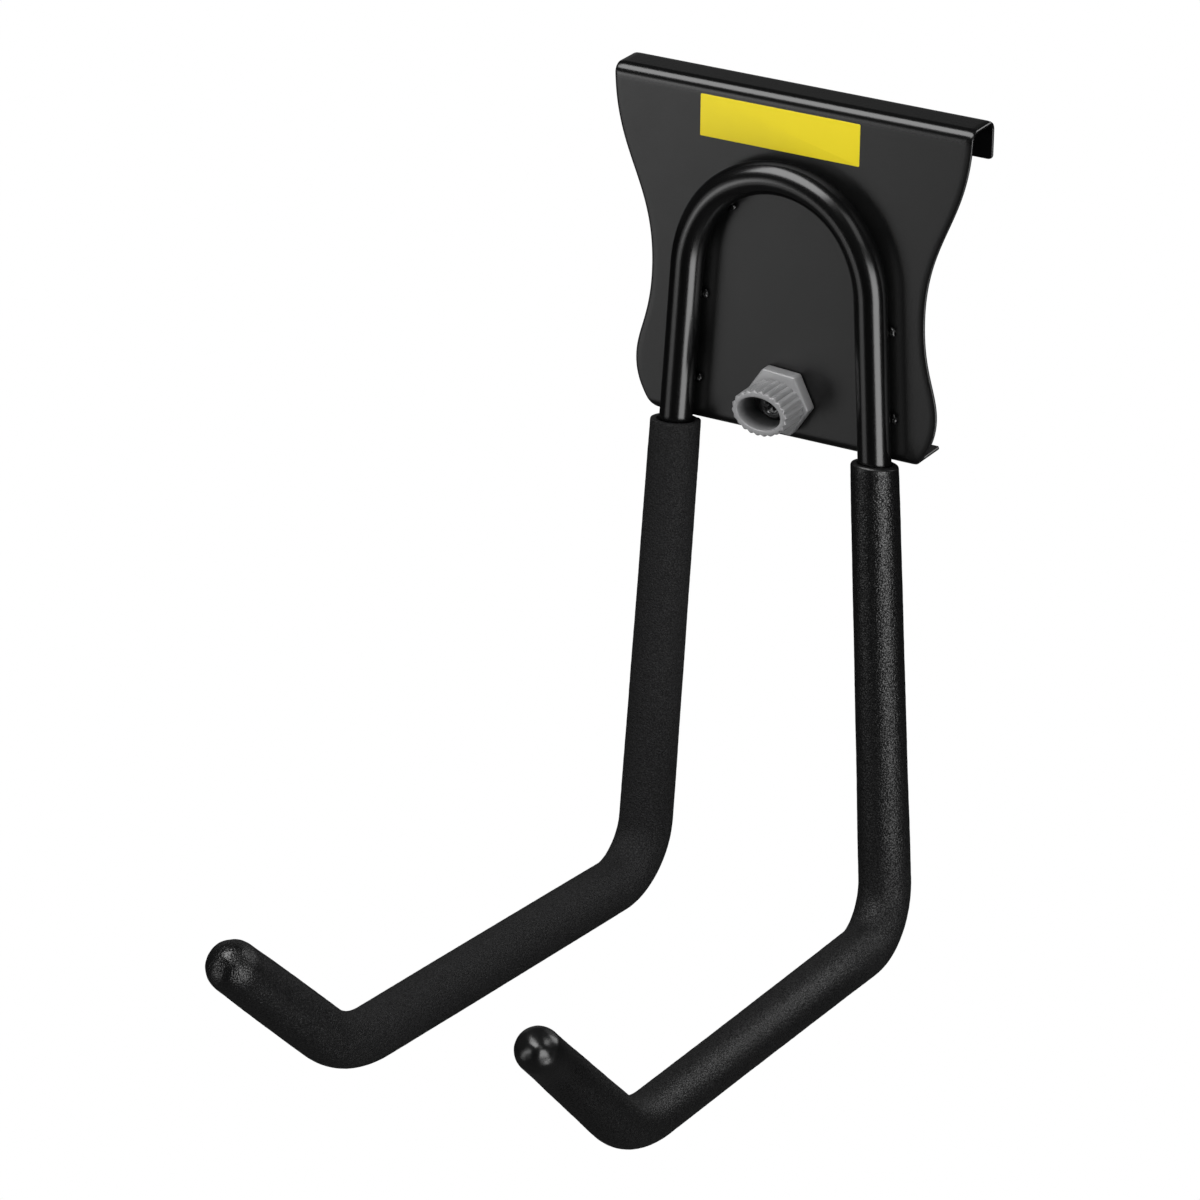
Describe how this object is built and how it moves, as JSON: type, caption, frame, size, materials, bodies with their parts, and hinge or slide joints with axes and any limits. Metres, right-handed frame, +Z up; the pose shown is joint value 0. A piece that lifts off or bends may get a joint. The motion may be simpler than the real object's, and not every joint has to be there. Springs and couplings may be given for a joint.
{
  "type": "garage utility hook",
  "caption": "Folded steel rail bracket with a foam-sleeved double arm of bent rod and a hand-turned locking screw, for hanging long or bulky tools.",
  "frame": {"origin": "middle of the underside of the top lip, the face that sits on the rail", "axes": "+X to the right seen from the front, +Y into the wall, +Z up; the arms reach forward along -Y"},
  "size_m": [0.118, 0.2491, 0.2649],
  "materials": {
    "satin_black_steel": "satin black powder coat",
    "gloss_black_steel": "smooth semi-gloss black powder coat",
    "black_foam": "matte fine-celled foam",
    "yellow_label": "printed film, plain",
    "grey_plastic": "moulded nylon, fine satin",
    "black_screw_steel": "black oxide, semi-gloss"
  },
  "bodies": {
    "bracket": {"back_plate": "satin_black_steel", "hook_rod": "gloss_black_steel", "left_sleeve": "black_foam", "right_sleeve": "black_foam", "weld_beads": "gloss_black_steel", "label": "yellow_label", "lock_nut": "black_screw_steel"},
    "lock": {"lock_knob": "grey_plastic", "lock_screw": "black_screw_steel"}
  },
  "joints": [
    {"name": "lock_turn", "type": "hinge", "parent": "bracket", "child": "lock", "pos_m": [0, -0.0072, -0.0925], "axis": [0, -1, 0], "range_deg": [0, 810]}
  ]
}
